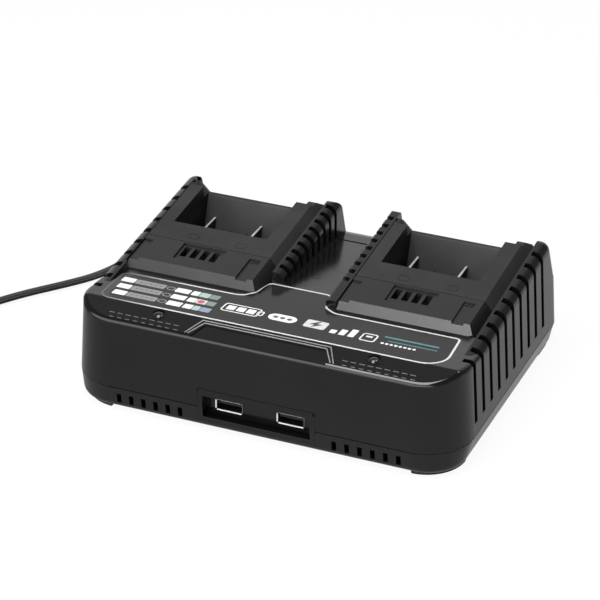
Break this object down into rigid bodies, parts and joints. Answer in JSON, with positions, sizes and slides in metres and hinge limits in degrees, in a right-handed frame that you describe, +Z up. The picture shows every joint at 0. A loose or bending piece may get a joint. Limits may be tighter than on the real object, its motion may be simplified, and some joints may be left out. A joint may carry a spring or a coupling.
{
  "type": "power tool battery charger",
  "caption": "Low twin-dock mains charger for slide-on power tool batteries, with vented walls, a label panel and USB outlets in its front.",
  "frame": {"origin": "centre of the housing's footprint, on the surface that the feet rest on", "axes": "+X to the right along the front, +Y to the rear, +Z up"},
  "size_m": [0.3525, 0.2073, 0.0568],
  "materials": {
    "housing_plastic": "moulded ABS, fine matt texture",
    "dock_plastic": "moulded ABS, fine matt texture",
    "gloss_overlay": "glossy printed overlay",
    "gloss_black": "polished black",
    "dark_plastic": "matt black",
    "lens_clear": "smoked light pipe",
    "led_resin": "clear resin",
    "contact_metal": "plated spring metal",
    "socket_steel": "folded tinned steel",
    "socket_resin": "moulded white resin",
    "circuit_board": "green solder mask",
    "ferrite": "sintered ferrite",
    "copper_winding": "yellow taped winding",
    "can_sleeve": "shrink sleeve",
    "heatsink_metal": "extruded",
    "fuse_ceramic": "ceramic tube",
    "screw_steel": "zinc plated",
    "foot_rubber": "moulded rubber",
    "cord_rubber": "satin PVC sheath",
    "plug_plastic": "moulded PVC",
    "pin_metal": "nickel plated"
  },
  "bodies": {
    "root": {"upper_housing": "housing_plastic", "lower_tray": "housing_plastic", "label_panel": "gloss_overlay", "front_fascia": "gloss_black", "usb_bezel": "dark_plastic", "charger_board": "circuit_board", "usb_board": "circuit_board", "indicator_board": "circuit_board", "indicator_leds": "led_resin", "transformer_core": "ferrite", "transformer_winding": "copper_winding", "mains_capacitor": "can_sleeve", "output_capacitors": "can_sleeve", "heatsink_left": "heatsink_metal", "heatsink_right": "heatsink_metal", "filter_choke": "copper_winding", "mains_fuse": "fuse_ceramic", "case_screws": "screw_steel", "board_screws": "screw_steel", "strain_relief": "cord_rubber", "mains_cord": "cord_rubber", "cord_coil": "cord_rubber", "cord_tail": "cord_rubber", "plug_body": "plug_plastic", "plug_pins": "pin_metal", "dock_insert_left": "dock_plastic", "dock_apron_left": "dock_plastic", "terminal_block_left": "dark_plastic", "contact_blades_left": "contact_metal", "sense_contacts_left": "contact_metal", "indicator_lens_left": "lens_clear", "usb_shell_left": "socket_steel", "usb_tongue_left": "socket_resin", "foot_front_left": "foot_rubber", "foot_rear_left": "foot_rubber", "dock_insert_right": "dock_plastic", "dock_apron_right": "dock_plastic", "terminal_block_right": "dark_plastic", "contact_blades_right": "contact_metal", "sense_contacts_right": "contact_metal", "indicator_lens_right": "lens_clear", "usb_shell_right": "socket_steel", "usb_tongue_right": "socket_resin", "foot_front_right": "foot_rubber", "foot_rear_right": "foot_rubber"}
  },
  "joints": []
}
